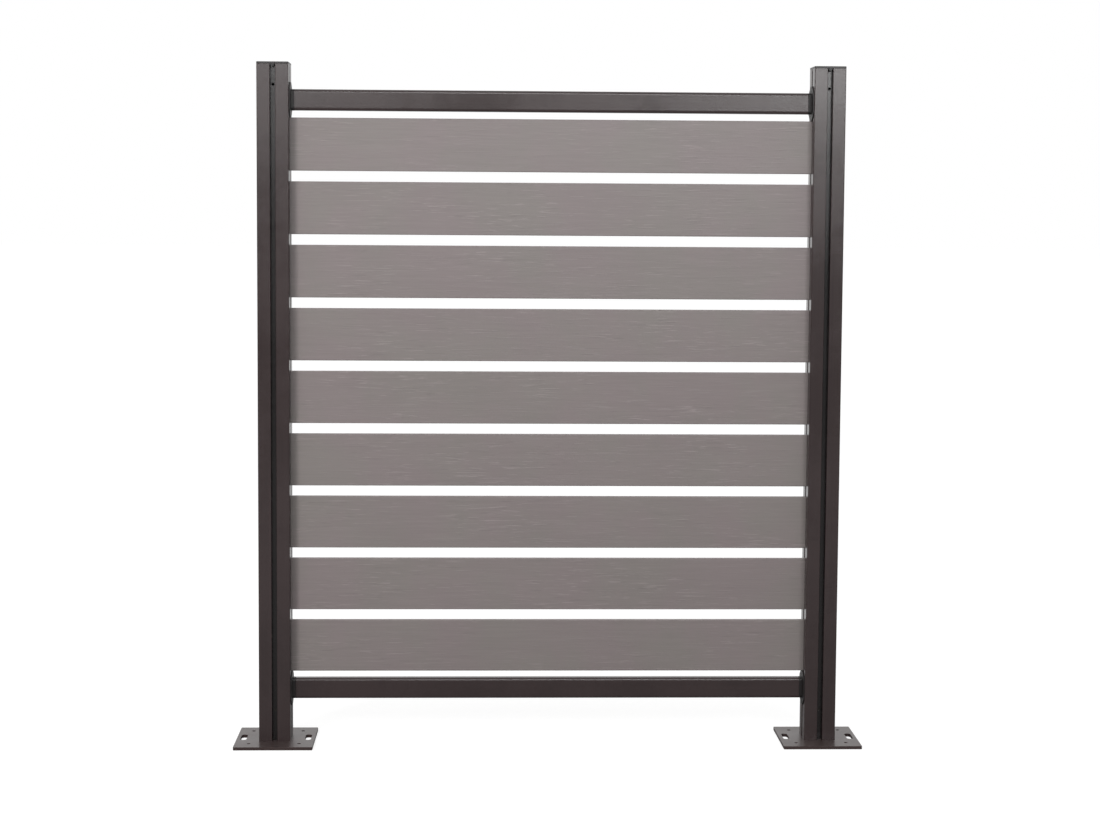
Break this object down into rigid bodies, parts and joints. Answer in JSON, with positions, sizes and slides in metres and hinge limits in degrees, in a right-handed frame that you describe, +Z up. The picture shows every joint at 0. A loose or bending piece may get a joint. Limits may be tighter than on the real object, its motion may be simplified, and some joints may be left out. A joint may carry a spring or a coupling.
{
  "type": "garden privacy screen",
  "caption": "Free-standing slatted garden privacy screen: grooved square posts on base plates, with rails above and below spaced horizontal composite slats.",
  "frame": {"origin": "on the floor, midway between the two posts and at the middle of their depth", "axes": "+X across the screen to the right, +Y to the back, +Z up; the front faces -Y"},
  "size_m": [1.2, 0.15, 1.3],
  "materials": {
    "powder_coat": "satin",
    "cap_coat": "satin",
    "plate_coat": "satin",
    "bracket_plastic": "matte",
    "slat_composite": "matte",
    "screw_steel": "satin"
  },
  "bodies": {
    "root": {"base_plate_left": "plate_coat", "base_plate_right": "plate_coat", "base_stub_left": "plate_coat", "base_stub_right": "plate_coat", "bottom_rail": "powder_coat", "bracket_screws_bottom_left": "screw_steel", "bracket_screws_bottom_right": "screw_steel", "bracket_screws_top_left": "screw_steel", "bracket_screws_top_right": "screw_steel", "groove_spacer_1_left": "bracket_plastic", "groove_spacer_1_right": "bracket_plastic", "groove_spacer_2_left": "bracket_plastic", "groove_spacer_2_right": "bracket_plastic", "groove_spacer_3_left": "bracket_plastic", "groove_spacer_3_right": "bracket_plastic", "groove_spacer_4_left": "bracket_plastic", "groove_spacer_4_right": "bracket_plastic", "groove_spacer_5_left": "bracket_plastic", "groove_spacer_5_right": "bracket_plastic", "groove_spacer_6_left": "bracket_plastic", "groove_spacer_6_right": "bracket_plastic", "groove_spacer_7_left": "bracket_plastic", "groove_spacer_7_right": "bracket_plastic", "groove_spacer_8_left": "bracket_plastic", "groove_spacer_8_right": "bracket_plastic", "post_cap_left": "cap_coat", "post_cap_right": "cap_coat", "post_left": "powder_coat", "post_right": "powder_coat", "rail_bracket_bottom_left": "bracket_plastic", "rail_bracket_bottom_right": "bracket_plastic", "rail_bracket_top_left": "bracket_plastic", "rail_bracket_top_right": "bracket_plastic", "slat_1": "slat_composite", "slat_2": "slat_composite", "slat_3": "slat_composite", "slat_4": "slat_composite", "slat_5": "slat_composite", "slat_6": "slat_composite", "slat_7": "slat_composite", "slat_8": "slat_composite", "slat_9": "slat_composite", "stub_screw_left": "screw_steel", "stub_screw_right": "screw_steel", "top_rail": "powder_coat"}
  },
  "joints": []
}
